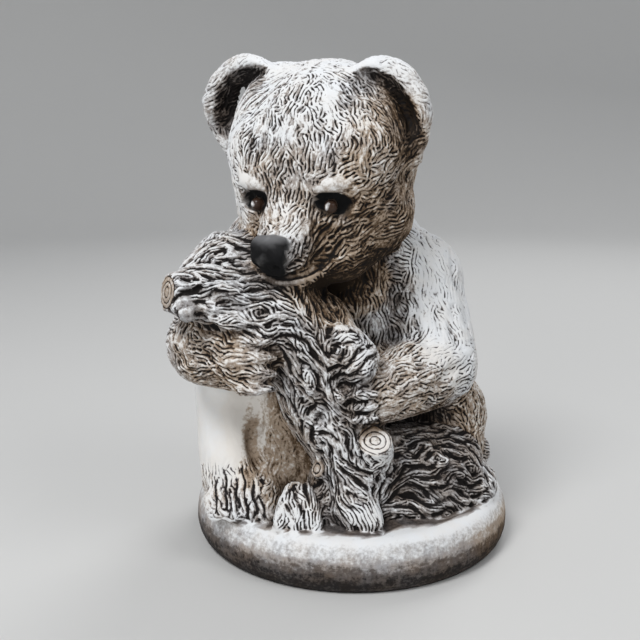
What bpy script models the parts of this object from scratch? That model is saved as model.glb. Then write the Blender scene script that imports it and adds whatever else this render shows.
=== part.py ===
"""A seated bear cub hugging a broken tree stump, cast in stone in one piece with its thick round base.

Metres, +Z up, the cub facing -Y. The origin is the middle of the flat underside.
The figure is laid out in shares of its own height, one share being FIGURE_HEIGHT / SHARES, measured from
the middle of the base's top. The base has sizes of its own.
"""

import math

import bmesh
import bpy
import numpy as np
from mathutils import Euler, Matrix, Vector
from mathutils.kdtree import KDTree

BASE_DIAMETER = 0.268
BASE_THICKNESS = 0.042
BASE_LIP_DROP = 0.026
BASE_LIP_INSET = 0.013
BASE_FOOT_RISE = 0.016
BASE_FOOT_INSET = 0.009
BASE_STEPS = 64
BASE_ARC_STEPS = 4

FIGURE_HEIGHT = 0.355
SHARES = 355.0
SHARE = FIGURE_HEIGHT / SHARES
FIGURE_SUNK = 0.008

MASS_VOXEL = 3.2
DETAIL_VOXEL = 2.1
FIGURE_TRIANGLES = 8440
FACE_WEIGHT = 0.4
FACE_WEIGHT_FACTOR = 5.0

LOCK_WIDTH = 6.5
LOCK_DEPTH = 4.0

HEAD_CENTRE = (-22.0, -35.0, 278.0)
HEAD_YAW = -24.5
HEAD_PITCH = 25.0

STONE_COLOUR = (0.52, 0.49, 0.46, 1.0)
STONE_ROUGHNESS = 0.85


def clear_scene():
    for obj in list(bpy.data.objects):
        bpy.data.objects.remove(obj, do_unlink=True)


def head_frame():
    turn = Euler((math.radians(HEAD_PITCH), 0.0, math.radians(HEAD_YAW)), "XYZ")
    return Matrix.Translation(HEAD_CENTRE) @ turn.to_matrix().to_4x4()


class Clay:
    """Lumps gathered in one mesh, laid out in shares of the figure's height."""

    def __init__(self, start=None):
        self.mesh = bmesh.new()
        self.frame = Matrix.Identity(4)
        if start:
            self.mesh.from_mesh(start)

    def lump(self, *balls):
        """The smooth skin around balls given as x, y, z and radius."""
        skin = bmesh.new()
        for x, y, z, radius in balls:
            place = self.frame @ Matrix.Translation((x, y, z))
            bmesh.ops.create_icosphere(skin, subdivisions=3, radius=radius, matrix=place)
        self.wrap(skin)

    def limb(self, *balls):
        """Tapering lengths from each ball to the next."""
        for first, second in zip(balls, balls[1:]):
            self.lump(first, second)

    def egg(self, centre, radii, turn=(0.0, 0.0, 0.0)):
        skin = bmesh.new()
        angles = Euler([math.radians(angle) for angle in turn]).to_matrix().to_4x4()
        size = Matrix.Diagonal((*radii, 1.0))
        place = self.frame @ Matrix.Translation(centre) @ angles @ size
        bmesh.ops.create_icosphere(skin, subdivisions=4, radius=1.0, matrix=place)
        self.wrap(skin)

    def stub(self, start, end, start_radius, end_radius):
        """A sawn-off branch: round, tapering, with a flat end."""
        skin = bmesh.new()
        start, end = Vector(start), Vector(end)
        along = end - start
        turn = along.to_track_quat("Z", "Y").to_matrix().to_4x4()
        place = self.frame @ Matrix.Translation((start + end) / 2) @ turn
        bmesh.ops.create_cone(
            skin,
            cap_ends=True,
            segments=32,
            radius1=start_radius,
            radius2=end_radius,
            depth=along.length,
            matrix=place,
        )
        self.wrap(skin)

    def wrap(self, skin):
        found = bmesh.ops.convex_hull(skin, input=skin.verts)
        loose = [item for item in found["geom_interior"] if isinstance(item, bmesh.types.BMVert)]
        bmesh.ops.delete(skin, geom=loose, context="VERTS")
        bmesh.ops.recalc_face_normals(skin, faces=skin.faces)
        piece = bpy.data.meshes.new("lump")
        skin.to_mesh(piece)
        skin.free()
        self.mesh.from_mesh(piece)
        bpy.data.meshes.remove(piece)

    def fuse(self, voxel, rounds):
        """The lumps as one closed skin, its creases softened."""
        mesh = bpy.data.meshes.new("figure")
        self.mesh.to_mesh(mesh)
        self.mesh.free()
        obj = bpy.data.objects.new("figure", mesh)
        bpy.context.scene.collection.objects.link(obj)
        remesh = obj.modifiers.new("fuse", "REMESH")
        remesh.mode = "VOXEL"
        remesh.voxel_size = voxel
        soften = obj.modifiers.new("soften", "SMOOTH")
        soften.factor = 0.5
        soften.iterations = rounds
        return applied(obj)


def applied(obj):
    bpy.context.view_layer.update()
    graph = bpy.context.evaluated_depsgraph_get()
    mesh = bpy.data.meshes.new_from_object(obj.evaluated_get(graph), depsgraph=graph)
    obj.modifiers.clear()
    obj.data = mesh
    return obj


def bend(*balls, steps=4):
    """Balls along a smooth curve through the given ones."""
    points = [np.array(ball, dtype=float) for ball in balls]
    points = [2 * points[0] - points[1], *points, 2 * points[-1] - points[-2]]
    found = []
    for a, b, c, d in zip(points, points[1:], points[2:], points[3:]):
        for step in range(steps):
            t = step / steps
            bow = 2 * b + (c - a) * t + (2 * a - 5 * b + 4 * c - d) * t**2
            found.append(tuple((bow + (3 * b - a - 3 * c + d) * t**3) / 2))
    found.append(tuple(points[-2]))
    return found


def body_masses(clay):
    clay.lump((0, 30, 62, 80), (-3, 26, 120, 74), (-6, 14, 170, 62), (-8, 4, 204, 52))
    clay.lump((-8, 2, 204, 52), (-20, -22, 256, 52))
    clay.lump((-66, 6, 204, 38), (-20, 6, 196, 44))
    clay.lump((54, 4, 174, 40), (14, 2, 196, 46))
    clay.lump((-52, -26, 74, 42), (-46, -22, 34, 44), (-10, -20, 60, 46), (-34, -10, 110, 46))
    clay.lump((-20, -12, 24, 44), (40, -10, 14, 36), (30, 20, 14, 40))
    clay.lump((2, 96, 32, 14), (3, 110, 20, 9))


def left_side_limbs(clay):
    """The arm over the log and the leg drawn up beside the stump."""
    clay.limb((-68, 4, 202, 38), (-108, -58, 148, 33), (-113, -68, 136, 34))
    clay.limb((-113, -68, 136, 34), (-84, -98, 134, 28))
    clay.lump((-66, 34, 48, 52), (-100, -12, 74, 33))
    clay.limb((-102, -20, 84, 30), (-95, -46, 26, 31))
    clay.lump((-96, -22, 92, 26), (-100, -48, 118, 24))
    clay.lump((-94, -46, 14, 31), (-84, -64, 8, 28), (-82, -70, 6, 24))


def right_side_limbs(clay):
    """The arm around the stump and the haunch behind the roots."""
    clay.lump((52, 4, 173, 40), (68, -20, 116, 35))
    clay.lump((69, -28, 108, 34), (36, -66, 103, 28))
    clay.lump((36, -66, 103, 28), (16, -82, 99, 23))
    clay.lump((66, 34, 50, 52), (80, 4, 58, 38), (82, -16, 34, 30))
    clay.lump((84, 30, 16, 30), (112, 42, 8, 19))
    clay.lump((84, 30, 14, 28), (86, -14, 8, 24))


def head_masses(clay):
    clay.egg((0, 4, 1), (71, 72, 70))
    clay.lump((-36, 14, 33, 36), (27, 8, 31, 33), (-28, -20, 12, 42), (28, -20, 12, 42))
    for side in (-1, 1):
        brow, cheek = (side * 24, -30, 2, 40), (side * 36, -20, -34, 38)
        clay.lump(brow, cheek, (side * 24, -42, -42, 33), (0, -34, -10, 42))
        clay.lump(cheek, (side * 24, -42, -42, 33), (side * 20, -52, -48, 30))
    clay.lump((0, -48, -48, 34), (0, -20, -20, 50))
    clay.lump((-2, -48, -12, 28), (-8.5, -94, -31, 16.5), (1.5, -94, -31, 16.5))
    clay.lump((-2, -62, -50, 28), (-3, -89, -50, 14))


def stump_masses(clay):
    clay.limb(*bend((-54, -88, 162, 28), (-40, -84, 134, 30), (-27, -76, 94, 32), (0, -76, 48, 30), steps=3))
    clay.lump((-28, -70, 152, 26), (-18, -74, 112, 28), (-40, -84, 134, 30))
    clay.lump((-118, -98, 180, 21), (-56, -90, 162, 27))
    clay.lump((-118, -84, 190, 17), (-102, -58, 203, 20), (-58, -58, 192, 26), (-56, -86, 170, 25))
    clay.lump((-30, -80, 124, 25), (-8, -88, 136, 20))
    clay.lump((0, -70, 24, 34), (20, -56, 36, 34), (-6, -70, 6, 36))
    clay.lump((20, -56, 36, 34), (74, -40, 28, 28), (60, -62, 6, 26))
    clay.lump((74, -40, 28, 28), (100, -36, 6, 22), (60, -62, 6, 26))


def build_masses():
    clay = Clay()
    body_masses(clay)
    left_side_limbs(clay)
    right_side_limbs(clay)
    stump_masses(clay)
    clay.frame = head_frame()
    head_masses(clay)
    return clay.fuse(MASS_VOXEL, 10)


def ears(clay):
    rim = bend((25, 2, 58, 6), (39, 10, 66, 8), (57, 17, 66, 9), (75, 15, 54, 9), (83, 9, 33, 9), (73, 4, 0, 8))
    for side, out, up in ((-1, 1.17, 1), (1, 0.93, -4)):
        edge = [(side * x * out, y, z + up, radius) for x, y, z, radius in rim]
        clay.limb(*edge)
        clay.lump(*((x * 0.97, y + 5, z, radius - 3) for x, y, z, radius in edge))


def face(clay):
    clay.lump((-9.5, -110, -24, 9), (2.5, -110, -24, 9), (-3.5, -107, -20, 11))
    clay.lump((-9, -106, -35, 7), (2, -106, -35, 7))
    clay.limb(*bend((-26, -82, -51, 6), (-18, -98, -51, 6), (-3, -103, -49, 6), (12, -97, -50, 6), (22, -82, -50, 6)))
    for side in (-1, 1):
        clay.lump((side * 29, -63, 9, 8), (side * 40, -58, 8, 8))
        clay.egg((side * 30, -66, -5), (5.5, 5.5, 5.5))


def paws(clay):
    for height in (115, 127, 139, 151):
        clay.limb((-84, -117, height, 7), (-72, -122, height, 5), (-63, -117, height - 1, 3.5))
    for toe in (-111, -97, -83, -69):
        clay.limb((toe, -72, 10, 10), (toe * 0.98, -86 - (toe + 115) * 0.12, 4, 7.5))
    for height in (88, 97, 106):
        clay.limb((14, -98, height, 7), (4, -104, height, 5.5), (-4, -102, height - 1, 4))


def stump_details(clay):
    clay.stub((-112, -97, 179), (-137, -111, 184), 21, 15)
    clay.stub((-116, -110, 178), (-124, -126, 168), 10, 7)
    clay.limb((-112, -114, 172, 7), (-88, -117, 164, 9), (-66, -112, 160, 7))
    clay.limb((-126, -112, 190, 6), (-96, -114, 186, 7), (-72, -108, 176, 6))
    clay.lump((-20, -84, 126, 20), (0, -94, 130, 18), (2, -92, 118, 14))
    clay.lump((-22, -90, 132, 19), (-5, -97, 138, 14))
    clay.lump((-20, -94, 142, 11), (-13, -99, 151, 8.5), (-4, -99, 147, 9))
    clay.lump((-4, -98, 132, 12), (5, -104, 126, 9))
    clay.stub((14, -84, 40), (14, -106, 71), 17, 13.5)
    clay.lump((66, -66, 40, 8), (70, -71, 42, 6))
    clay.lump((-36, -104, 110, 8), (-36, -110, 111, 5))
    clay.lump((-12, -98, 102, 8), (-12, -107, 104, 5))
    for top, foot in ((-49, -58), (-44, -45), (-39, -31)):
        clay.limb((top, -90, 25, 7), ((top + foot) / 2, -100, 17, 7), (foot, -107, 4, 7))
    for top, foot, thick in ((-20, -2, 9), (-9, 11, 11)):
        clay.limb((top, -85, 46, 9), ((top + foot) / 2, -98, 28, thick), (foot, -106, 7, thick))
    clay.stub((-22, -84, 36), (-30, -94, 44), 8, 7)
    clay.limb((14, -84, 8, 13), (60, -80, 6, 12), (106, -46, 5, 12))
    clay.limb((30, -76, 22, 10), (80, -58, 18, 10), (112, -30, 12, 10))


def press(obj, frame, centre, radii, depth):
    """Pushes the skin back along the frame's +Y where it lies in an egg about the centre."""
    into = frame.inverted()
    for vert in obj.data.vertices:
        local = into @ vert.co
        share = sum(((a - b) / c) ** 2 for a, b, c in zip(local, centre, radii))
        if share < 1:
            local.y += depth * (1 - share) ** 1.5
            vert.co = frame @ local


def score(obj, frame, lines, width, depth, into=None):
    """Grooves along lines in the frame, fading out at their ends and cut inwards or the given way."""
    marks = []
    for line in lines:
        points = bend(*line, steps=12)
        for step, point in enumerate(points):
            fade = math.sin(math.pi * (step + 1) / (len(points) + 1)) ** 0.5
            spot = obj.closest_point_on_mesh(frame @ Vector(point))[1]
            marks.append((spot.copy(), fade))
    near = KDTree(len(marks))
    for index, (point, _) in enumerate(marks):
        near.insert(point, index)
    near.balance()
    moved = []
    for vert in obj.data.vertices:
        _, index, distance = near.find(vert.co)
        if distance < width:
            way = into or -vert.normal
            moved.append((vert, way * depth * (1 - distance / width) * marks[index][1]))
    for vert, move in moved:
        vert.co += move


def build_details(masses):
    for side in (-1, 1):
        press(masses, head_frame(), (side * 31, -68, -5), (15, 22, 10), 8)
    clay = Clay(masses.data)
    bpy.data.objects.remove(masses, do_unlink=True)
    paws(clay)
    stump_details(clay)
    clay.frame = head_frame()
    ears(clay)
    face(clay)
    return clay.fuse(DETAIL_VOXEL, 3)


def furrows(spine, angles, reach=1.0):
    """Lines along a limb given as balls, each at its own angle round the limb."""
    path = [np.array(ball, dtype=float) for ball in spine]
    lines = []
    for turn, angle in enumerate(angles):
        line = []
        for step, ball in enumerate(path):
            along = path[min(step + 1, len(path) - 1)] - path[max(step - 1, 0)]
            side = np.cross(along[:3], (0.0, -1.0, 0.0))
            side /= np.linalg.norm(side)
            front = np.cross(side, along[:3])
            front /= np.linalg.norm(front)
            swing = math.radians(angle + 9 * math.sin(2.1 * step + 1.7 * turn))
            offset = math.sin(swing) * side + math.cos(swing) * front
            line.append(tuple(ball[:3] + offset * ball[3] * reach))
        lines.append(line)
    return lines


def locks(spine, angles, rows):
    """Short furrows along a limb, staggered round it like locks of fur."""
    path = bend(*spine, steps=4 * rows)
    span = len(path) // rows
    lines = []
    for turn, angle in enumerate(angles):
        shift = span // 2 if turn % 2 else 0
        for row in range(rows):
            part = path[row * span + shift : (row + 1) * span + shift - span // 4 : 2]
            if len(part) > 2:
                lines += furrows(part, (angle,))
    return lines


def carve_fur(obj):
    """Coarse locks along the back, arms and thighs, fanning up the forehead and back over the cheeks."""
    level = Matrix.Identity(4)
    back = ((-8, 4, 214, 50), (-6, 14, 170, 62), (-3, 26, 120, 74), (0, 30, 40, 80))
    lines = locks(back, range(84, 277, 16), 3)
    lines += locks(((-72, 0, 200, 38), (-96, -36, 164, 35), (-113, -66, 138, 34)), range(-72, 73, 24), 1)
    lines += locks(((-118, -66, 136, 34), (-104, -86, 134, 31), (-88, -98, 134, 28)), (-44, -16, 12, 40), 1)
    lines += locks(((54, 4, 190, 40), (62, -10, 150, 38), (68, -22, 112, 35)), range(-60, 97, 26), 1)
    lines += locks(((70, -26, 108, 34), (40, -62, 103, 28), (20, -80, 99, 24)), (-56, -28, 0, 28), 1)
    score(obj, level, lines, LOCK_WIDTH, LOCK_DEPTH)
    fans = []
    for step in range(-3, 4):
        lean = 15.0 * step
        low, high = 26 + 5 * (step % 2), 58 + 4 * (step % 2)
        fans.append(((0.6 * lean, -70, low), (0.75 * lean, -60, (low + high) / 2), (0.9 * lean, -44, high)))
    for side in (-1, 1):
        for row, height in enumerate((-12, -28, -44)):
            start = 44 + 6 * (row % 2)
            fans.append(
                (
                    (side * start, -58 + 0.5 * start, height),
                    (side * (start + 14), -40 + 0.5 * start, height + 4),
                    (side * (start + 24), -18 + 0.5 * start, height + 12),
                )
            )
    score(obj, head_frame(), fans, LOCK_WIDTH, 0.7 * LOCK_DEPTH)


def carve(obj):
    level = Matrix.Identity(4)
    trunk = ((-52, -88, 160, 28), (-40, -84, 134, 30), (-27, -76, 94, 32), (-6, -76, 54, 30))
    log = ((-134, -99, 182, 20), (-108, -96, 178, 22), (-84, -93, 172, 25), (-60, -90, 164, 27))
    crown = ((-112, -72, 200, 19), (-92, -62, 202, 22), (-66, -68, 186, 26))
    root = ((14, -62, 34, 34), (44, -54, 32, 31), (74, -42, 26, 28), (102, -36, 10, 22))
    lines = furrows(trunk, (-62, -38, -14, 10, 34, 58, 82))
    lines += furrows(log, (-70, -40, -12, 14, 40))
    lines += furrows(crown, (-30, 0, 30))
    lines += furrows(root, (-60, -34, -8, 20, 48))
    score(obj, level, lines, 4.8, 4.2)
    score(obj, level, [((-38, -108, 96), (-32, -107, 88), (-25, -106, 82))], 7.0, 6.0)
    score(obj, level, [((-84, -66, 98), (-81, -66, 70), (-77, -68, 46), (-72, -70, 28))], 7.0, 8.0)
    mouth = ((-32, -76, -37), (-27, -87, -43), (-16, -103, -43), (-3, -111, -42), (11, -103, -43), (23, -86, -43))
    head = head_frame()
    score(obj, head, [(*mouth, (29, -76, -37))], 4.5, 3.5)
    back = head.to_3x3() @ Vector((0, 1, 0))
    left = ((-36, -6, 62), (-54, 0, 62), (-70, 2, 52), (-80, -2, 34), (-80, -4, 20))
    right = ((32, -6, 56), (46, -2, 56), (58, 0, 46), (66, -2, 32), (70, -4, 15))
    score(obj, head, [left, right], 13.0, 18.0, back)


def thin_out(obj, triangles):
    """Fewer triangles, most of them kept in the face."""
    group = obj.vertex_groups.new(name="plain")
    into = head_frame().inverted()
    for vert in obj.data.vertices:
        side, back, up = into @ vert.co
        fine = abs(side) < 46 and back < -40 and -64 < up < 20
        group.add([vert.index], FACE_WEIGHT if fine else 1.0, "REPLACE")
    obj.data.calc_loop_triangles()
    thin = obj.modifiers.new("thin", "DECIMATE")
    thin.vertex_group = group.name
    thin.vertex_group_factor = FACE_WEIGHT_FACTOR
    thin.ratio = triangles / len(obj.data.loop_triangles)
    return applied(obj)


def trim(obj):
    """Cuts the figure level a little below the top of the base."""
    depth = round(min(FIGURE_SUNK, BASE_THICKNESS / 2) / SHARE, 3)
    mesh = bmesh.new()
    mesh.from_mesh(obj.data)
    found = bmesh.ops.bisect_plane(
        mesh,
        geom=mesh.verts[:] + mesh.edges[:] + mesh.faces[:],
        plane_co=(0.0, 0.0, -depth),
        plane_no=(0.0, 0.0, -1.0),
        clear_outer=True,
    )
    rims = [item for item in found["geom_cut"] if isinstance(item, bmesh.types.BMEdge)]
    filled = bmesh.ops.holes_fill(mesh, edges=rims)
    bmesh.ops.triangulate(mesh, faces=filled["faces"])
    bmesh.ops.recalc_face_normals(mesh, faces=mesh.faces)
    mesh.to_mesh(obj.data)
    mesh.free()


def set_on_base(obj):
    lift = Matrix.Translation((0.0, 0.0, BASE_THICKNESS))
    obj.data.transform(lift @ Matrix.Scale(SHARE, 4))


def turned_base():
    """The round base: a bull-nosed edge that turns in further above than below, and flat faces."""
    radius = BASE_DIAMETER / 2
    waist = BASE_THICKNESS - BASE_LIP_DROP
    foot_rise = min(BASE_FOOT_RISE, waist)
    profile = [(0.0, 0.0)]
    for step in range(BASE_ARC_STEPS + 1):
        angle = math.pi / 2 * step / BASE_ARC_STEPS
        inset = BASE_FOOT_INSET * (1 - math.sin(angle))
        profile.append((radius - inset, foot_rise * (1 - math.cos(angle))))
    for step in range(BASE_ARC_STEPS + 1):
        angle = math.pi / 2 * step / BASE_ARC_STEPS
        inset = BASE_LIP_INSET * (1 - math.cos(angle))
        profile.append((radius - inset, waist + BASE_LIP_DROP * math.sin(angle)))
    profile.append((0.0, BASE_THICKNESS))
    mesh = bmesh.new()
    verts = [mesh.verts.new((x, 0.0, z)) for x, z in profile]
    edges = [mesh.edges.new(pair) for pair in zip(verts, verts[1:])]
    bmesh.ops.spin(
        mesh,
        geom=verts + edges,
        cent=(0.0, 0.0, 0.0),
        axis=(0.0, 0.0, 1.0),
        angle=2 * math.pi,
        steps=BASE_STEPS,
    )
    bmesh.ops.remove_doubles(mesh, verts=mesh.verts, dist=0.00001)
    bmesh.ops.recalc_face_normals(mesh, faces=mesh.faces)
    data = bpy.data.meshes.new("base")
    mesh.to_mesh(data)
    mesh.free()
    obj = bpy.data.objects.new("base", data)
    bpy.context.scene.collection.objects.link(obj)
    return obj


def stone():
    material = bpy.data.materials.new("cast_stone")
    material.use_nodes = True
    shader = material.node_tree.nodes["Principled BSDF"]
    shader.inputs["Base Color"].default_value = STONE_COLOUR
    shader.inputs["Roughness"].default_value = STONE_ROUGHNESS
    shader.inputs["Metallic"].default_value = 0.0
    return material


def main():
    clear_scene()
    figure = build_details(build_masses())
    carve_fur(figure)
    carve(figure)
    trim(figure)
    figure = thin_out(figure, FIGURE_TRIANGLES)
    set_on_base(figure)
    base = turned_base()
    join = base.modifiers.new("join", "BOOLEAN")
    join.operation = "UNION"
    join.solver = "EXACT"
    join.object = figure
    statue = applied(base)
    bpy.data.objects.remove(figure, do_unlink=True)
    statue.name = "bear_cub_statue"
    statue.data.name = "bear_cub_statue"
    statue.data.materials.clear()
    statue.data.materials.append(stone())
    for face_ in statue.data.polygons:
        face_.use_smooth = True


main()
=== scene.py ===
"""Looks of the cast-stone bear cub: carved fur and bark, a dark wash in the grooves and a pale coat.

Lengths are in millimetres and heights are from the top of the base. Places named local lie in the head, as
side, back and up from its middle. Each run of balls is side, back, up and radius.
"""

import math

import bpy
import numpy as np
from mathutils import Euler, Matrix, Vector
from mathutils.bvhtree import BVHTree
from mathutils.kdtree import KDTree


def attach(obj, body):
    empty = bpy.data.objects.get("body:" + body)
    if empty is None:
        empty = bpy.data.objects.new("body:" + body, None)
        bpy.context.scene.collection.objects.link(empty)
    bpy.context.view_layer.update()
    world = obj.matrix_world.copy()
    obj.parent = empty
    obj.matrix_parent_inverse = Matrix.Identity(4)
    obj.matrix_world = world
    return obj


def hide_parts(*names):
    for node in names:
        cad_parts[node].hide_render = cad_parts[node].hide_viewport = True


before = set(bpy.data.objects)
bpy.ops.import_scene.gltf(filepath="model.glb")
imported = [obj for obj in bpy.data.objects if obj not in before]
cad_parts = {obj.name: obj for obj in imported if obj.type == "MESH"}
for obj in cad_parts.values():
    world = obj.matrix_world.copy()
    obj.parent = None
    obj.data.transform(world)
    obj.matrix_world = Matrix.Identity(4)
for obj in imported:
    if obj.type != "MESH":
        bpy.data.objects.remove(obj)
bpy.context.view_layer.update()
bpy.ops.object.select_all(action="DESELECT")

MM = 0.001
STATUE = "bear_cub_statue"
BASE_TOP = 42.0
FAR = 1e8

# The casting's own form and the finely meshed skin: size of the grid and rounds of smoothing.
BLANK_VOXEL = 1.4
BLANK_SMOOTHING = 8
SKIN_VOXEL = 0.70
SKIN_SMOOTHING = 4
SKIN_TRIANGLES = 198000
KEEP_FORCE = 0.02
# Shares of detail kept when the skin is thinned; the face is given by its middle and radii.
FRONT_KEEP = 0.25
FACE_KEEP = 0.6
BASE_KEEP = 0.12
RING_KEEP = 0.9
FACE = ((0, -62, 0), (66, 66, 66))

# Fine grooves: how far apart and how deep they are.
FACE_PITCH = 2.9
BODY_PITCH = 3.1
BARK_PITCH = 2.8
FUR_DEPTH = 1.35
BARK_DEPTH = 1.8
# Coarse grooves, which part the locks of fur and the plates of bark.
LOCK_PITCH = 8.0
LOCK_DEPTH = 1.0
FURROW_DEPTH = 2.0
# Slow swings of the carving's way: reach, seed, and the turn in bark and in fur.
SWINGS = ((36, 3, 0.50, 0.30), (15, 5, 0.40, 0.26), (8, 7, 0.25, 0.45))
# Small patches that each turn the carving their own way, and how far each seed strays by itself.
PATCH_SIZE = 7.5
PATCH_SEED = 17
FACE_PATCH = 0.70
FUR_PATCH = 0.48
BARK_PATCH = 0.42
FUR_JITTER = 0.20
BARK_JITTER = 0.18
# Slow unevenness of the skin and of the base: height and reach.
SKIN_WAVE = (0.45, 18)
BASE_WAVE = (0.12, 6)

HEAD_CENTRE = (-22.0, -35.0, 278.0)
HEAD_YAW = -24.5
HEAD_PITCH = 25.0

# The fur and the bark run along these.
FUR_LIMBS = {
    "back": ((-8, 4, 204, 52), (-6, 14, 170, 62), (-3, 26, 120, 74), (0, 30, 62, 80)),
    "neck": ((-20, -22, 250, 50), (-8, 2, 204, 52)),
    "shoulders": ((-20, 6, 196, 42), (20, 4, 192, 42)),
    "belly": ((-34, -12, 110, 44), (-50, -24, 74, 42), (-46, -22, 34, 44)),
    "left_arm": ((-66, 6, 204, 38), (-108, -58, 148, 33), (-113, -68, 136, 34)),
    "left_forearm": ((-120, -60, 136, 34), (-84, -98, 134, 28)),
    "left_hand": ((-86, -112, 133, 20), (-66, -116, 133, 14)),
    "right_arm": ((54, 4, 180, 40), (68, -20, 116, 35)),
    "right_forearm": ((74, -24, 108, 34), (36, -66, 103, 28), (16, -82, 99, 23), (2, -96, 97, 12)),
    "left_thigh": ((-66, 34, 48, 52), (-100, -12, 74, 33)),
    "left_shin": ((-102, -20, 84, 30), (-95, -46, 26, 31)),
    "left_foot": ((-95, -44, 22, 30), (-84, -86, 4, 20)),
    "right_haunch": ((66, 34, 60, 52), (80, 4, 50, 38), (86, -14, 12, 28)),
    "right_heel": ((84, 30, 16, 30), (112, 42, 8, 19)),
}
BARK_LIMBS = {
    "log": ((-137, -111, 184, 17), (-118, -98, 180, 21), (-56, -90, 162, 27)),
    "crown": ((-118, -80, 192, 17), (-102, -58, 203, 20), (-58, -60, 190, 26)),
    "trunk": ((-54, -88, 162, 28), (-40, -84, 134, 30), (-27, -76, 94, 32), (0, -76, 48, 30)),
    "trunk_side": ((-28, -70, 152, 26), (-18, -74, 112, 28)),
    "stub": ((-26, -86, 128, 21), (2, -100, 140, 16)),
    "root": ((0, -70, 24, 34), (20, -56, 36, 34), (74, -40, 28, 28), (102, -36, 6, 22)),
    "front_root": ((14, -84, 8, 13), (60, -80, 6, 12), (106, -46, 5, 12)),
    "side_root": ((30, -76, 22, 10), (80, -58, 18, 10), (112, -30, 12, 10)),
    "ring_stub": ((14, -84, 40, 17), (14, -106, 71, 14)),
    "left_lobe": ((-44, -90, 25, 11), (-45, -108, 4, 15)),
    "right_lobe": ((-14, -85, 46, 14), (5, -106, 7, 16)),
}
HEAD_LUMPS = {
    "skull": ((0, 4, -2, 68), (0, 4, 4, 66)),
    "left_temple": ((-36, 14, 33, 36), (-28, -20, 12, 42)),
    "right_temple": ((27, 8, 31, 33), (28, -20, 12, 42)),
    "forehead": ((-28, -20, 12, 42), (28, -20, 12, 42)),
    "left_cheek": ((-24, -30, 2, 40), (-36, -20, -34, 38), (-24, -42, -42, 33)),
    "right_cheek": ((24, -30, 2, 40), (36, -20, -34, 38), (24, -42, -42, 33)),
    "muzzle": ((0, -34, -10, 42), (-2, -48, -16, 30), (-3, -94, -31, 20)),
    "jaw": ((0, -20, -20, 50), (0, -48, -48, 34), (-3, -89, -50, 15)),
    "lower_cheek": ((-24, -42, -42, 33), (24, -42, -42, 33)),
}
# The fur of the head runs from the tip of the nose to the ears and the crown.
NOSE_TIP = (0, -112, -30)
EAR = (78, 15, 22)
CROWN = (0, 0, 92)
# The head's skin lies above the first height, and its ears above the second.
HEAD_FROM = 180
EARS_FROM = 262
EAR_RIM = ((25, 2, 58, 6), (39, 10, 66, 8), (57, 17, 66, 9), (75, 15, 54, 9), (83, 9, 33, 9), (73, 4, 0, 8))
EAR_SPREAD = {-1: (1.17, 1), 1: (0.93, -4)}
# Each ear's hollow: its middle line and how much slimmer it is than the widest.
EAR_HOLLOWS = (
    (((-46, -4, 60), (-62, 4, 61), (-76, 11, 54), (-83, 12, 45), (-86, 10, 34), (-88, 7, 22)), 3.0),
    (((37, -8, 57), (48, 2, 53), (56, 4, 46), (64, 6, 37), (69, 5, 25), (71, 0, 10)), 0.0),
)

EYE = (31.0, -66.0, -4.0)
EYE_SIZE = (13.8, 20.0, 9.2)
EYE_SLANT = 0.22
EYE_SINK = 5.5
BEAD = (29.5, -68.0, -6.0, 4.9)
# The painted highlight on the bead: its offset and reach.
GLINT_OFFSET = (-1.8, -3.8, 1.8)
GLINT_REACH = 2.3
BROW = ((21, -66.5, 7.5, 3.2), (29, -64.6, 10, 5.6), (37, -61.4, 10, 6.0), (46, -55.5, 3, 3.6))
# The nose: two wings, the dome over them and the foot that runs down to the mouth.
NOSE = (
    ((-13, -108, -24, 6.5), (2.5, -109, -24, 6.5)),
    ((-10.5, -106, -18.5, 8.5), (0.5, -106, -18.5, 8.5)),
    ((-8, -105, -28, 8), (-6.5, -103.5, -37, 7)),
    ((-1, -105, -28, 8), (-1.5, -103.5, -37, 7)),
)
NOSTRILS = ((-12.5, -27.5), (3.0, -28.5))
NOSTRIL_SIZE = (3.4, 4.2)
NOSTRIL_DEPTH = 5.0
NOSTRIL_FRONT = -102
# The hollow beside the nose: middle, radii and depth.
NOSE_CORNER = ((15, -112, -30), (9, 12, 17))
CORNER_SINK = 5.0
# The nose's paint ends at these; each side has an edge, a taper and the height below which it tapers.
NOSE_FRONT = -98
NOSE_TOP = -8.5
NOSE_BOTTOM = -44
NOSE_LEFT = (20.5, 0.40, 30)
NOSE_RIGHT = (10.5, 0.32, 26)
PAINT_EDGE = 1.5
MOUTH = (
    (-24, -96, -39), (-14, -105, -41), (-3, -109, -42.5), (5, -107, -43.5),
    (16, -98, -45), (22, -87, -46), (28, -78, -41), (31, -72, -33),
)
LOWER_LIP = (
    (-22, -93, -42, 2.9), (-12, -104, -45, 3.1), (-3, -107.5, -46.3, 3.1),
    (8, -104, -47.2, 3.0), (16, -96, -48, 2.6), (21, -89, -47, 1.8),
)
LIP_TOP = -42
# The knob under the end of the log.
KNOB = ((-121, -126, 175), (8, 12, 12))
# Claws: their heights, and the balls along each with their height from that.
CLAWS = (
    ((115, 127, 139, 151), ((-80, -120, 0, 5.2), (-66, -120, 0, 4), (-60, -116, -2, 2))),
    ((88, 97, 106), ((12, -105, 0, 4.5), (0, -107, 0, 3.8), (-8, -103, -2, 2))),
)
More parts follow.
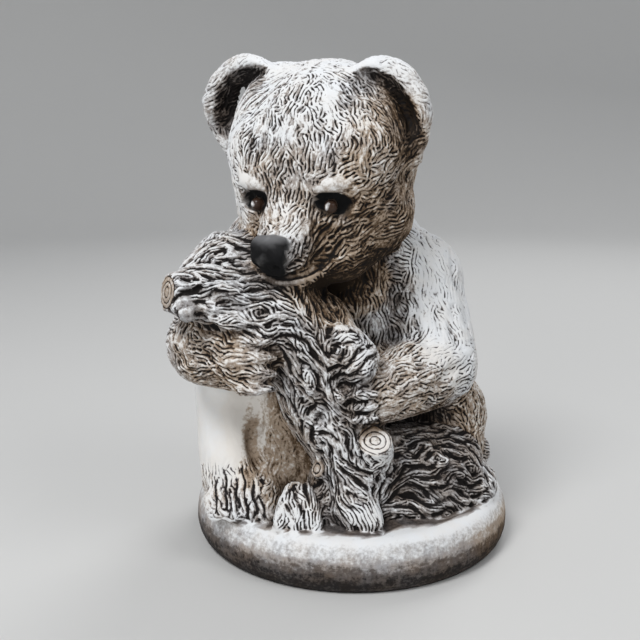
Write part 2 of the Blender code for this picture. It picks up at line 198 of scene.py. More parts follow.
# Carved lines: points, half width and depth.
HEAD_CUTS = (
    (MOUTH, 2.4, 2.6),
    (((-4.5, -118, -27), (-4.5, -112, -42)), 2.4, 1.6),
    (((4, -112, -46), (4, -108, -54)), 1.2, 1.2),
)
BODY_CUTS = (
    (((-38, -108, 97), (-31, -106, 89), (-24, -106, 82)), 4.5, 4.5),
    (((-84, -70, 98), (-82, -74, 70), (-78, -76, 46), (-72, -78, 26)), 4.0, 3.0),
    (((-72, -76, 60), (-62, -74, 50), (-50, -76, 46)), 3.0, 1.4),
    (((-51, -96, 24), (-52, -110, 3)), 2.2, 2.4),
    (((-42, -96, 24), (-38, -110, 3)), 2.2, 2.4),
    (((-14, -94, 40), (3, -112, 8)), 2.4, 2.6),
    (((-21, -98, 40), (-11, -109, 12)), 1.6, 2.0),
    (((-3, -98, 40), (6, -113, 20)), 1.6, 2.0),
    (((4, -98, 36), (13, -113, 16)), 1.6, 2.0),
    *((((-76, -122, height), (-60, -116, height - 2)), 2.4, 3.0) for height in (145, 133, 121)),
    *((((8, -108, height), (-6, -107, height)), 2.0, 2.2) for height in (101.5, 92.5)),
)
# Strokes down the toes of the foot: side and height of each end, half width and depth.
TOE_FRONT = -70
TOE_STROKES = (
    (-110, 26, -108, 6, 1.6, 1.8), (-103, 34, -101, 9, 2.2, 2.8), (-98, 22, -97, 3, 1.5, 1.8),
    (-94, 29, -91, 11, 2.3, 2.8), (-88, 36, -85, 15, 1.7, 2.2), (-86, 16, -82, 2, 2.3, 3.0),
    (-80, 27, -76, 7, 2.2, 2.8), (-74, 19, -70, 4, 1.8, 2.2),
)
# Sawn faces: middle, a point behind it and radius.
RING_FACES = (
    ((-137, -111, 184), (-112, -97, 179), 13),
    ((14, -106, 71), (14, -84, 40), 13.5),
    ((-30, -94, 44), (-22, -84, 36), 7),
)
RING_SPACING = 3.9
RING_DEPTH = 0.8
# Knots that the bark's grain flows round: middle and reach.
KNOTS = (
    ((-37, -112, 121), 9), ((-13, -103, 109), 9), ((-31, -106, 90), 11), ((67, -75, 44), 12),
    ((14, -102, 62), 17), ((-12, -98, 138), 15), ((-122, -122, 172), 11), ((-70, -112, 170), 9),
    ((40, -80, 20), 9), ((96, -52, 26), 9), ((-26, -98, 68), 9), ((28, -72, 58), 9),
)

# Where the carving is shallower: middle, radii, softness of the edge and by how much.
BODY_CALM = (((-50, -50, 62), (42, 45, 62), 0.4, 0.45), ((82, -40, 160), (45, 50, 60), 0.6, 0.20))
HEAD_CALM = (((2, -86, -4), (15, 22, 14), 0.4, 0.10), ((6, -60, -72), (44, 44, 24), 0.4, 0.85))
LEG = ((-100, -30, 78), (45, 60, 66))
TOES = ((-92, -90, 14), (36, 30, 26))
LEG_CALM = 0.85
TOE_CALM = 0.20
EAR_CALM = 0.30
KNOB_CALM = 0.6
# Beside the muzzle the grooves are wider and deeper.
MUZZLE_SIDE = ((24, -84, -28), (17, 24, 18))

# How pale or dark the coat is: middle, radii and amount. Rows marked below paint light and shade; the others
# are the coat's own tone.
HEAD_TONES = (
    ((0, -6, 58), (78, 75, 46), 0.22),
    ((2, -88, -8), (15, 24, 14), 0.12),
    ((24, -84, -30), (17, 24, 18), -0.20),
    # Painted shade: the right cheek, turned from the light.
    ((46, -30, -28), (44, 52, 40), -0.26),
    # Under the jaw and chin: the darker wash, with painted shade over it.
    ((0, -40, -70), (84, 74, 42), -0.60),
    # Painted light: the head's left side, facing the light.
    ((-56, -36, 0), (34, 54, 54), 0.30),
    ((-2, -66, 20), (60, 30, 26), -0.03),
)
BODY_TONES = (
    # Painted light: the right upper arm.
    ((80, -34, 150), (46, 62, 74), 0.36),
    ((-104, -76, 14), (38, 46, 34), 0.12),
    # Painted light: the leg, lifted out of the forearm's shadow.
    ((-104, -50, 70), (40, 54, 62), 0.50),
    ((-50, -60, 62), (34, 44, 60), -0.06),
    # Painted shade in the crease beside the leg.
    ((-84, -72, 62), (10, 30, 46), -0.42),
    # Darker root and lower right side: partly the coat, partly painted shade.
    ((60, -60, 40), (66, 52, 54), -0.30),
    # Darker chest under the head: partly the coat, partly painted shade.
    ((26, -50, 190), (60, 40, 40), -0.12),
    # Under the chin: the darker wash, with painted shade.
    ((-14, -72, 180), (46, 52, 27), -0.42),
    # Painted light: the right shoulder.
    ((62, -10, 206), (44, 52, 38), 0.42),
    ((-9, -106, 152), (8, 9, 7), 0.28),
    ((3, -111, 131), (7, 8, 7), 0.22),
    ((67, -76, 44), (9, 9, 9), 0.40),
    ((14, -108, 66), (18, 18, 20), 0.30),
    ((-37, -113, 121), (7, 9, 7), 0.40),
    ((8, -108, 10), (20, 14, 14), 0.40),
    ((-45, -112, 6), (24, 12, 14), 0.40),
    ((-121, -124, 175), (8, 12, 12), -0.12),
)
# Where the coat turns brown, in the same form.
HEAD_WARMTH = (
    ((0, -40, -60), (95, 80, 60), 1.0),
    ((60, -20, 0), (40, 64, 70), 0.7),
    ((0, -60, 0), (70, 50, 40), 0.35),
)
BODY_WARMTH = (
    ((-50, -50, 60), (60, 62, 90), 1.3),
    ((-14, -72, 180), (60, 60, 36), 3.0),
    ((-95, -92, 135), (54, 54, 44), 0.6),
    ((36, -70, 104), (62, 50, 40), 0.5),
    ((-104, -50, 50), (44, 60, 70), 0.4),
    ((105, 20, 70), (40, 80, 80), 0.8),
    ((80, -50, 60), (40, 40, 30), 0.4),
)

# Short feelers that tell how closed in a place is, which darkens it with wash and painted shade: how many,
# how long, and how far off the skin they start.
FEELERS = 8
FEELER_REACH = 26.0
FEELER_START = 0.6

# The room, in metres and watts: the floor, the lamps as place, energy and size, and the photo's view.
FLOOR_FLAT = 2.2
FLOOR_BEND = 1.2
FLOOR_WALL = 1.4
FLOOR_STEPS = 12
LAMPS = {
    "key": ((-0.8, -1.2, 2.0), 30, 0.8),
    "fill": ((1.5, -1.1, 1.9), 11, 1.2),
    "front": ((-1.1, -2.0, 0.7), 12, 1.2),
    "back": ((0.9, 1.5, 1.9), 19, 1.2),
}
LAMP_AIM = (0, 0, 0.2)
SKY = (0.9, 0.93, 1.0, 1)
SKY_STRENGTH = 0.35
CAMERA_PLACE = (-0.0273, -0.7428, 0.3424)
CAMERA_TILT = 12.2
CAMERA_LENS = 50.625
CAMERA_SENSOR = 36


def head_frame():
    turn = Euler((math.radians(HEAD_PITCH), 0.0, math.radians(HEAD_YAW)), "XYZ")
    return Matrix.Translation(HEAD_CENTRE) @ turn.to_matrix().to_4x4()


def to_metres(point):
    return Vector((point[0] * MM, point[1] * MM, (point[2] + BASE_TOP) * MM))


def activate(obj):
    bpy.ops.object.select_all(action="DESELECT")
    obj.select_set(True)
    bpy.context.view_layer.objects.active = obj


def apply_modifiers(obj):
    for modifier in list(obj.modifiers):
        bpy.ops.object.modifier_apply(modifier=modifier.name)


def positions(obj):
    flat = np.empty(len(obj.data.vertices) * 3, np.float32)
    obj.data.vertices.foreach_get("co", flat)
    points = flat.reshape(-1, 3) / np.float32(MM)
    points[:, 2] -= BASE_TOP
    return points


def set_positions(obj, points):
    moved = points.astype(np.float32)
    moved[:, 2] += BASE_TOP
    obj.data.vertices.foreach_set("co", (moved * np.float32(MM)).ravel())
    obj.data.update()


def normals(obj):
    flat = np.empty(len(obj.data.vertices) * 3, np.float32)
    obj.data.vertex_normals.foreach_get("vector", flat)
    return flat.reshape(-1, 3)


def unit(ways):
    return ways / np.maximum(np.linalg.norm(ways, axis=1), 1e-6)[:, None]


def smooth(values, low, high):
    """0 below low, 1 above high, with an easy change between."""
    share = np.clip((values - low) / (high - low), 0, 1)
    return share * share * (3 - 2 * share)


def in_head(points):
    """Points as side, back and up from the middle of the head."""
    axes = np.array(head_frame().to_3x3(), np.float32)
    return (points - np.array(HEAD_CENTRE, np.float32)) @ axes


def tree_of(points):
    tree = KDTree(len(points))
    for index, point in enumerate(points.tolist()):
        tree.insert(point, index)
    tree.balance()
    return tree


def stone_blank(node):
    """The casting's form, evenly meshed."""
    blank = bpy.data.objects.new("statue", node.data.copy())
    bpy.context.scene.collection.objects.link(blank)
    activate(blank)
    bpy.ops.object.mode_set(mode="EDIT")
    bpy.ops.mesh.select_all(action="SELECT")
    bpy.ops.mesh.remove_doubles(threshold=0.00001)
    bpy.ops.object.mode_set(mode="OBJECT")
    remesh = blank.modifiers.new("even", "REMESH")
    remesh.mode = "VOXEL"
    remesh.voxel_size = BLANK_VOXEL * MM
    soften = blank.modifiers.new("soften", "SMOOTH")
    soften.factor = 0.5
    soften.iterations = BLANK_SMOOTHING
    apply_modifiers(blank)
    return blank


def tilted(local):
    """Points with the eye's slant taken out."""
    return local + np.outer(EYE_SLANT * (np.abs(local[:, 0]) - EYE[0]), (0, 0, 1))


def eye_share(local, side, grow=0.0):
    """1 in the middle of an eye's hollow and 0 outside."""
    size = [radius + grow for radius in EYE_SIZE]
    return within(tilted(local), (side * EYE[0], EYE[1], EYE[2]), size)


def hollow_eyes(blank):
    """Sinks the eyes and the corner between nose and cheek."""
    points = positions(blank)
    local = in_head(points)
    axes = np.array(head_frame().to_3x3())
    for side in (-1, 1):
        points += np.outer(EYE_SINK * eye_share(local, side, 1.0) ** 0.5, axes[:, 1])
    points += np.outer(CORNER_SINK * smooth(within(local, *NOSE_CORNER), 0, 0.7), axes[:, 1])
    set_positions(blank, points)


def add_ball(centre, radii, place):
    middle = to_metres(place @ Vector(centre))
    bpy.ops.mesh.primitive_ico_sphere_add(subdivisions=4, radius=1.0, location=middle)
    ball = bpy.context.active_object
    ball.rotation_euler = place.to_euler()
    ball.scale = Vector(radii) * MM
    bpy.ops.object.transform_apply(location=True, rotation=True, scale=True)
    return ball


def add_limb(balls, place):
    """One smooth skin around each ball and the next."""
    limbs = []
    for pair in zip(balls, balls[1:]):
        ends = [add_ball(ball[:3], (ball[3], ball[3], ball[3]), place) for ball in pair]
        activate(ends[0])
        ends[1].select_set(True)
        bpy.ops.object.join()
        bpy.ops.object.mode_set(mode="EDIT")
        bpy.ops.mesh.select_all(action="SELECT")
        bpy.ops.mesh.convex_hull()
        bpy.ops.object.mode_set(mode="OBJECT")
        limbs.append(bpy.context.active_object)
    return limbs


def mirrored(balls, side):
    return [(side * x, y, z, radius) for x, y, z, radius in balls]


def small_forms():
    """Eyes, brows, nose, lip and claws."""
    head = head_frame()
    level = Matrix.Identity(4)
    added = add_limb(LOWER_LIP, head)
    for side in (-1, 1):
        x, y, z, radius = BEAD
        added.append(add_ball((side * x, y, z), (radius, radius, radius), head))
        added += add_limb(mirrored(BROW, side), head)
    for lump in NOSE:
        added += add_limb(lump, head)
    for heights, claw in CLAWS:
        for height in heights:
            added += add_limb([(x, y, height + up, radius) for x, y, up, radius in claw], level)
    activate(added[0])
    for obj in added:
        obj.select_set(True)
    bpy.ops.object.join()
    return bpy.context.active_object


def fine_skin(blank, added):
    """The casting and its small forms meshed finely as one."""
    activate(blank)
    added.select_set(True)
    bpy.ops.object.join()
    remesh = blank.modifiers.new("skin", "REMESH")
    remesh.show_viewport = False
    remesh.mode = "VOXEL"
    remesh.voxel_size = SKIN_VOXEL * MM
    soften = blank.modifiers.new("soften", "SMOOTH")
    soften.factor = 0.5
    soften.iterations = SKIN_SMOOTHING
    soften.show_viewport = False
    apply_modifiers(blank)
    return blank


def near_run(points, run):
    """How far points are outside a run of balls, and which way the run goes there."""
    best = np.full(len(points), 1e9, np.float32)
    along = np.zeros((len(points), 3), np.float32)
    for first, second in zip(run, run[1:]):
        start, end = np.array(first[:3], np.float32), np.array(second[:3], np.float32)
        way = end - start
        offset = points - start
        share = np.clip(offset @ (way / (way @ way)), 0, 1)
        offset -= share[:, None] * way
        gap = np.sqrt(np.einsum("ij,ij->i", offset, offset)) - (first[3] + (second[3] - first[3]) * share)
        closer = gap < best
        best[closer] = gap[closer]
        along[closer] = way / np.linalg.norm(way)
    return best, along


def near_line(points, line):
    return near_run(points, [(*point, 0.0) for point in line])[0]


def within(local, centre, radii):
    """1 at the middle of an egg, 0 at its skin and outside."""
    scaled = (local - np.array(centre, np.float32)) / np.array(radii, np.float32)
    return np.clip(1 - (scaled**2).sum(axis=1), 0, 1)


def zones(points, rows):
    """The sum of soft patches, each with its own amount."""
    total = np.zeros(len(points), np.float32)
    for centre, radii, amount in rows:
        total += amount * smooth(within(points, centre, radii), 0.0, 0.6)
    return total


def ring_faces(points):
    """For each point, how far from the middle of a sawn face it lies, or past FAR where there is none."""
    found = np.full(len(points), 1e9)
    for centre, inside, radius in RING_FACES:
        axis = np.array(centre, float) - np.array(inside, float)
        axis /= np.linalg.norm(axis)
        offset = points - np.array(centre, float)
        level = offset @ axis
        out = np.linalg.norm(offset - np.outer(level, axis), axis=1)
        on_face = (np.abs(level) < 4.5) & (out < radius - 0.6)
        found[on_face] = np.minimum(found[on_face], out[on_face])
    return found


def swirl(points, reach, seed):
    """A slow wave between -1 and 1."""
    rng = np.random.default_rng(seed)
    total = np.zeros(len(points), np.float32)
    for _ in range(6):
        way = rng.normal(size=3)
        way *= 2 * math.pi / (reach * np.linalg.norm(way) * rng.uniform(0.7, 1.5))
        total += np.sin(points @ way.astype(np.float32) + rng.uniform(0, 6.28))
    return total / 4


class Skin:
    """What each point of the fine skin is: fur, bark, base or painted, and which way its carving runs."""

    def __init__(self, obj):
        self.points = positions(obj)
        self.normals = normals(obj)
        count = len(self.points)
        self.local = in_head(self.points)
        best = np.full(count, 1e9, np.float32)
        self.flow = np.tile(np.array([0.0, 0.0, -1.0], np.float32), (count, 1))
        self.bark = np.zeros(count, bool)
        for runs, is_bark in ((FUR_LIMBS, False), (BARK_LIMBS, True)):
            for run in runs.values():
                gap, along = near_run(self.points, run)
                closer = gap < best
                best[closer] = gap[closer]
                self.flow[closer] = along[closer]
                self.bark[closer] = is_bark
        self.head = self.find_head(best)
        self.base = self.points[:, 2] < 1.6
        self.bark &= ~self.head
        self.flow[self.head] = self.head_flow(self.local[self.head])
        self.find_paint()
        self.find_force()

    def find_head(self, best):
        gap = np.full(len(self.local), 1e9, np.float32)
        for run in HEAD_LUMPS.values():
            gap = np.minimum(gap, near_run(self.local, run)[0])
        high = self.points[:, 2] > EARS_FROM
        rim = np.full(len(self.local), 1e9, np.float32)
        for side, (out, up) in EAR_SPREAD.items():
            run = [(side * x * out, y, z + up, radius) for x, y, z, radius in EAR_RIM]
            rim = np.minimum(rim, near_run(self.local, run)[0])
        flat = self.local * np.array((1, 0.3, 1), np.float32)
        inner = np.full(len(self.local), 1e9, np.float32)
        for line, slimmer in EAR_HOLLOWS:
            inner = np.minimum(inner, near_line(flat, [(x, 0.3 * y, z) for x, y, z in line]) + slimmer)
        front = -(self.normals @ np.array(head_frame().to_3x3(), np.float32))[:, 1]
        self.hollow = smooth(-inner, -12.0, -8.0) * smooth(front, -0.65, -0.35) * high
        self.ear_rim = smooth(-rim, -5, -1) * smooth(inner, 9, 12) * high
        ears = (rim < 4) & high
        return (np.abs(gap) < np.maximum(np.abs(best), 2.0) + 1.0) & (self.points[:, 2] > HEAD_FROM) | ears

    def head_flow(self, local):
        """Away from the nose over the cheeks, and up to the crown over the forehead."""
        axes = np.array(head_frame().to_3x3(), np.float32)
        away = unit(local - np.array(NOSE_TIP, np.float32))
        out, back, up = EAR
        ear = np.stack([np.sign(local[:, 0]) * out, np.full(len(local), back), np.full(len(local), up)], 1)
        ear = unit(ear - local)
        crown = unit(np.array(CROWN, np.float32) - local)
        cheek = smooth(12 - local[:, 2], 0, 25) * smooth(np.abs(local[:, 0]), 15, 45)
        top = smooth(local[:, 2], 12, 42)
        way = away * (1 - top)[:, None] + crown * top[:, None] + ear * (0.7 * cheek)[:, None]
        return unit(way) @ axes.T

    def nose_paint(self):
        side, back, up = self.local.T
        gap = np.full(len(side), 1e9, np.float32)
        for lump in NOSE:
            gap = np.minimum(gap, near_run(self.local, lump)[0])
        nose = np.clip(3.4 - gap / PAINT_EDGE, 0, 1) * (back < NOSE_FRONT)
        nose = nose * smooth(up, NOSE_BOTTOM, NOSE_BOTTOM + PAINT_EDGE)
        edge, taper, start = NOSE_RIGHT
        right = smooth(edge + taper * np.minimum(up + start, 0) - side, 0, PAINT_EDGE)
        nose *= smooth(NOSE_TOP - up, 0, PAINT_EDGE) * right
        edge, taper, start = NOSE_LEFT
        nose *= smooth(side + edge + taper * np.minimum(up + start, 0), 0, PAINT_EDGE)
        return nose

    def find_paint(self):
        """Shares of the nose, eyes, brows and lip, and where a place is painted and so left uncarved."""
        local = self.local
        self.nose = self.nose_paint()
        self.eye = np.zeros(len(local), np.float32)
        self.bead = np.zeros(len(local), np.float32)
        self.brow = np.zeros(len(local), np.float32)
        self.glint = np.zeros(len(local), np.float32)
        for side in (-1, 1):
            x, y, z, radius = BEAD
            right, back, up = GLINT_OFFSET
            dot = (side * x + right, y + back, z + up)
            self.eye = np.maximum(self.eye, eye_share(local, side))
            self.bead = np.maximum(self.bead, within(local, (side * x, y, z), (radius + 0.5,) * 3))
            # The painted highlight on each bead.
            self.glint = np.maximum(self.glint, within(local, dot, (GLINT_REACH,) * 3))
            gap, _ = near_run(local, mirrored(BROW, side))
            self.brow = np.maximum(self.brow, np.clip(1 - gap / 2, 0, 1))
        lip, _ = near_run(local, LOWER_LIP)
        self.lip = np.clip(1 - lip / 1.6, 0, 1) * (local[:, 2] < LIP_TOP)
        self.brow *= self.eye < 0.02
        self.ring = ring_faces(self.points)
        painted = np.maximum(self.nose, np.minimum(self.eye * 6, 1))
        painted = np.maximum(painted, smooth(self.brow, 0.3, 0.9))
        painted = np.maximum(painted, self.lip)
        painted = np.maximum(painted, self.ring < FAR)
        self.calm = np.where(self.base, 1.0, painted).astype(np.float32)
        self.kind = np.where(self.calm > 0.9, -1, self.bark.astype(int))

    def find_force(self):
        """How deeply each place is carved, and how far apart its grooves lie."""
        leg = smooth(within(self.points, *LEG), 0, 0.3)
        toes = smooth(within(self.points, *TOES), 0, 0.4)
        calm = np.maximum(LEG_CALM * leg * (1 - toes), TOE_CALM * toes)
        for places, rows in ((self.points, BODY_CALM), (self.local, HEAD_CALM)):
            for centre, radii, edge, amount in rows:
                calm = np.maximum(calm, amount * smooth(within(places, centre, radii), 0, edge))
        calm = np.maximum(calm, EAR_CALM * self.ear_rim)
        knob = smooth(within(self.points, *KNOB), 0, 0.5)
        self.force = np.where(self.bark, 1 - KNOB_CALM * knob, 1 - calm) * (1 - self.calm)
        side = smooth(within(self.local, *MUZZLE_SIDE), 0, 0.4)
        pitch = np.where(self.head, FACE_PITCH + 0.9 * side, BODY_PITCH + 0.8 * toes)
        self.pitch = np.where(self.bark, BARK_PITCH, pitch)
        self.force *= 1 + 0.3 * side


def patch_turn(points, size, seed):
    """A turn between -1 and 1, the same all over each small patch."""
    rng = np.random.default_rng(seed)
    bends = [swirl(points, 1.4 * size, seed + step) for step in (1, 2, 3)]
    bent = points + 0.35 * size * np.stack(bends, axis=1)
    cells = np.floor(bent / size).astype(np.int64) % 64
    return rng.uniform(-1, 1, (64, 64, 64))[cells[:, 0], cells[:, 1], cells[:, 2]]


def waved(skin, chosen, jitter=True):
    """The carving's way at some points: turned to and fro, round the knots, and laid in the surface."""
    points, facing = skin.points[chosen], skin.normals[chosen]
    bark = skin.bark[chosen]
    flow = skin.flow[chosen].copy()
    for centre, reach in KNOTS:
        offset = points - np.array(centre, np.float32)
        share = np.exp(-((offset**2).sum(axis=1)) / reach**2) * bark
        around = unit(np.cross(facing, offset))
        around *= np.sign((around * flow).sum(axis=1))[:, None]
        flow += (3.0 * share)[:, None] * around
    across = np.cross(facing, flow)
    turn = np.zeros(len(points))
    for reach, seed, in_bark, in_fur in SWINGS:
        turn += np.where(bark, in_bark, in_fur) * swirl(points, reach, seed)
    own = np.where(bark, BARK_PATCH, np.where(skin.head[chosen], FACE_PATCH, FUR_PATCH))
    turn += own * patch_turn(points, PATCH_SIZE, PATCH_SEED)
    if jitter:
        turn += np.where(bark, BARK_JITTER, FUR_JITTER) * np.random.default_rng(8).normal(size=len(points))
    flow = unit(flow) * np.cos(turn)[:, None] + unit(across) * np.sin(turn)[:, None]
    flow -= facing * (flow * facing).sum(axis=1)[:, None]
    lost = np.linalg.norm(flow, axis=1) < 0.05
    flow[lost] = np.cross(facing[lost], (0.3, 0.2, 1.0))
    return unit(flow)


class Ridges:
    """Rounded ridges with narrow grooves between them, side by side over the skin and along its flow.

    Seeds are scattered over the skin, each with a wave across its flow. Each wave is shifted until it runs on
    from its neighbours', and the grooves are where the waves around a point agree on a trough.
    """

    # How many neighbours a seed has and how often the waves are shifted.
    NEAR = 16
    ROUNDS = 5
    # The seeds' spacing as a share of the pitch, and all reaches as shares of that spacing.
    SPACING = 1.25
    REACH_ALONG = 1.6
    REACH_ASIDE = 0.9
    STROKE_WIDTH = 0.35
    BLEND = 0.52
    # A stroke's strength: middle, spread, least and most.
    STRENGTH = (0.90, 1.5, 0.05, 1.2)
    # How many points are worked out at a time.
    BATCH = 60000

    def __init__(self, skin, pitch, seed):
        self.skin = skin
        self.rng = np.random.default_rng(seed)
        wanted = np.flatnonzero(skin.kind >= 0)
        self.gap = self.SPACING * float(np.mean(pitch[wanted]))
        self.seeds = wanted[self.scatter(skin.points[wanted])]
        self.places = skin.points[self.seeds]
        self.kind = skin.kind[self.seeds]
        tree = tree_of(self.places)
        found = [tree.find_n(place, self.NEAR) for place in self.places.tolist()]
        self.near = np.array([[hit[1] for hit in hits] for hits in found])
        self.flow = waved(skin, self.seeds)
        across = np.cross(skin.normals[self.seeds], self.flow)
        self.wave = across * (2 * math.pi / pitch[self.seeds])[:, None].astype(np.float32)
        self.line_up()
        self.home = np.array([tree.find(point)[1] for point in skin.points[wanted].tolist()])
        self.wanted = wanted

    def scatter(self, points):
        """One point out of each cell of a grid."""
        order = self.rng.permutation(len(points))
        cells = np.floor(points[order] / self.gap).astype(np.int64) + 1000
        key = (cells[:, 0] * 4000 + cells[:, 1]) * 4000 + cells[:, 2]
        return order[np.unique(key, return_index=True)[1]]

    def line_up(self):
        """Shifts each seed's wave until it runs on from its neighbours', and gives each its own strength."""
        gap = self.places[:, None] - self.places[self.near]
        same = np.sign((self.wave[:, None] * self.wave[self.near]).sum(axis=2))
        step = 0.5 * ((self.wave[:, None] + same[..., None] * self.wave[self.near]) * gap).sum(axis=2)
        along = (gap * self.flow[:, None]).sum(axis=2)
        aside = (gap**2).sum(axis=2) - along**2
        shares = (self.REACH_ALONG, self.REACH_ASIDE, self.STROKE_WIDTH)
        long, wide, slim = (2 * (share * self.gap) ** 2 for share in shares)
        pull = np.exp(-(along**2) / long - aside / wide)
        pull *= self.kind[:, None] == self.kind[self.near]
        phase = self.rng.uniform(0, 2 * math.pi, len(self.places))
        for _ in range(self.ROUNDS):
            phase = np.angle((pull * np.exp(1j * (same * phase[self.near] + step))).sum(axis=1))
        self.phase = phase
        strength = self.rng.uniform(0.0, 2.0, len(self.places))
        along_pull = pull * np.exp(-aside / slim)
        strength = (along_pull * strength[self.near]).sum(axis=1) / along_pull.sum(axis=1)
        middle, spread, least, most = self.STRENGTH
        self.strength = np.clip(middle + spread * (strength - 1.0), least, most)

    def grooves(self, sharpness):
        """How deep each point of the skin lies in a groove, from 0 on a ridge to 1."""
        found = np.zeros(len(self.skin.points), np.float32)
        for start in range(0, len(self.wanted), self.BATCH):
            part = self.wanted[start : start + self.BATCH]
            home = self.home[start : start + self.BATCH]
            near = self.near[home]
            gap = self.skin.points[part][:, None] - self.places[near]
            pull = np.exp(-(gap**2).sum(axis=2) / (2 * (self.BLEND * self.gap) ** 2))
            pull *= self.skin.kind[part][:, None] == self.kind[near]
            same = np.sign((self.wave[home][:, None] * self.wave[near]).sum(axis=2))
            turn = same * (self.phase[near] + (self.wave[near] * gap).sum(axis=2))
            met = (pull * np.exp(1j * turn)).sum(axis=1)
            whole = np.maximum(pull.sum(axis=1), 1e-6)
            size_met = np.abs(met)
            ridge = 0.5 + 0.5 * met.real / np.maximum(size_met, 1e-6)
            force = (pull * self.strength[near]).sum(axis=1) / whole * smooth(size_met / whole, 0.1, 0.5)
            found[part] = force * (1 - ridge) ** sharpness
        return found


def cut(points, line, width, depth):
    """How deep a smooth groove along a line lies at each point."""
    return depth * np.clip(1 - near_line(points, line) / width, 0, 1) ** 1.2


def carve_lines(skin, depth, crest):
    """The nostrils, the toes' strokes and the named lines."""
    side, back, up = skin.local.T
    wide, high = NOSTRIL_SIZE
    for x, z in NOSTRILS:
        flat = np.hypot((side - x) / wide, (up - z) / high)
        depth = np.maximum(depth, NOSTRIL_DEPTH * smooth(1 - flat, 0, 0.7) * (back < NOSTRIL_FRONT))
    toes = (skin.points[:, 1] < TOE_FRONT) & (skin.calm < 0.5) & ~skin.bark
    flat = skin.points * np.array((1, 0, 1), np.float32)
    flat[:, 0] += 0.9 * np.sin(0.4 * flat[:, 2])
    for left, top, right, bottom, width, deep in TOE_STROKES:
        into = cut(flat, ((left, 0, top), (right, 0, bottom)), width, deep) * toes
        depth = np.maximum(depth, into)
        crest = np.minimum(crest, 1 - np.clip(into / (0.5 * deep), 0, 1))
    for source, cuts in ((skin.local, HEAD_CUTS), (skin.points, BODY_CUTS)):
        for line, width, deep in cuts:
            into = cut(source, line, width, deep)
            depth = np.maximum(depth, into)
            crest = np.minimum(crest, 1 - np.clip(into / (0.6 * deep), 0, 1))
    return depth, crest


def carve(obj, skin):
    """Cuts the fine and the coarse grooves, the named lines and the rings of the sawn faces."""
    fine = Ridges(skin, skin.pitch, 11).grooves(2.0)
    coarse_pitch = np.full(len(skin.points), LOCK_PITCH, np.float32)
    coarse = Ridges(skin, coarse_pitch, 12).grooves(2.2)
    fine_depth = np.where(skin.bark, BARK_DEPTH, FUR_DEPTH)
    coarse_depth = np.where(skin.bark, FURROW_DEPTH, LOCK_DEPTH)
    depth = skin.force * (fine * fine_depth + coarse * coarse_depth)
    crest = 1 - np.clip(skin.force, 0, 1) * np.maximum(fine, np.where(skin.bark, 0.9, 0.35) * coarse)
    depth, crest = carve_lines(skin, depth, crest)
    ring = skin.ring + 0.9 * swirl(skin.points, 14, 21)
    rings = np.clip(np.cos(np.minimum(ring, 1e4) * 2 * math.pi / RING_SPACING), 0, 1) * (skin.ring < FAR)
    crest = np.minimum(crest, 1 - 0.95 * rings)
    skin.crest = np.clip(crest, 0, 1)
    skin.furrow = coarse * skin.force
    high, reach = SKIN_WAVE
    slow = high * swirl(skin.points, reach, 8) * (1 - skin.calm)
    high, reach = BASE_WAVE
    slow = slow + high * swirl(skin.points, reach, 9) * skin.base
    moved = skin.points + skin.normals * (slow - depth - RING_DEPTH * rings)[:, None]
    underside = skin.points[:, 2] < -BASE_TOP + 0.9
    moved[underside, 2] = -BASE_TOP
    set_positions(obj, moved)


def shelter(obj, points, facing):
    """How closed in each point is, from short feelers sent out over it."""
    tree = BVHTree.FromPolygons(points.tolist(), [tuple(face.vertices) for face in obj.data.polygons])
    golden = math.pi * (3 - math.sqrt(5))
    feelers = []
    for index in range(FEELERS):
        up = 0.25 + 0.7 * (index + 0.5) / FEELERS
        out = math.sqrt(1 - up * up)
        feelers.append(Vector((out * math.cos(golden * index), out * math.sin(golden * index), up)))
    found = np.zeros(len(points))
    for index, (point, normal) in enumerate(zip(points.tolist(), facing.tolist())):
        normal = Vector(normal)
        turn = normal.to_track_quat("Z", "Y").to_matrix()
        start = Vector(point) + normal * FEELER_START
        total = 0.0
        for feeler in feelers:
            distance = tree.ray_cast(start, turn @ feeler, FEELER_REACH)[3]
            if distance is not None:
                total += 1 - distance / FEELER_REACH
        found[index] = total / FEELERS
    return found


def scale_mesh(obj, factor):
    flat = np.empty(len(obj.data.vertices) * 3, np.float32)
    obj.data.vertices.foreach_get("co", flat)
    obj.data.vertices.foreach_set("co", flat * np.float32(factor))
    obj.data.update()


def thin_out(obj, skin, triangles):
    """Fewer triangles, most of them kept in the face and on the front.

    The mesh is thinned in millimetres, because in metres its errors are too small to be told apart.
    """
    points = skin.points
    ahead = smooth(-skin.normals[:, 1] + 0.5 * skin.normals[:, 2], -0.25, 0.25)
    ahead = ahead * smooth(-points[:, 1], -60, 0)
    keep = FRONT_KEEP * ahead + FACE_KEEP * smooth(within(skin.local, *FACE), 0, 0.3)
    keep = np.where(skin.base, BASE_KEEP * (points[:, 2] > -6), keep)
    keep[skin.ring < FAR] = RING_KEEP
    group = obj.vertex_groups.new(name="plain")
    steps = np.round((1 - np.clip(keep, 0, 1)) * 20).astype(int)
    for level in np.unique(steps):
        group.add(np.flatnonzero(steps == level).tolist(), level / 20, "REPLACE")
    scale_mesh(obj, 1 / MM)
    activate(obj)
    obj.data.calc_loop_triangles()
    thin = obj.modifiers.new("thin", "DECIMATE")
    thin.show_viewport = False
    thin.vertex_group = group.name
    thin.vertex_group_factor = KEEP_FORCE
    thin.ratio = triangles / len(obj.data.loop_triangles)
    apply_modifiers(obj)
    scale_mesh(obj, MM)
    obj.vertex_groups.clear()


def store(obj, name, values):
    """Keeps a number or a way for each vertex, for the material to read."""
    values = np.asarray(values, np.float32)
    kind, field = ("FLOAT", "value") if values.ndim == 1 else ("FLOAT_VECTOR", "vector")
    attribute = obj.data.attributes.new(name, kind, "POINT")
    attribute.data.foreach_set(field, values.ravel())


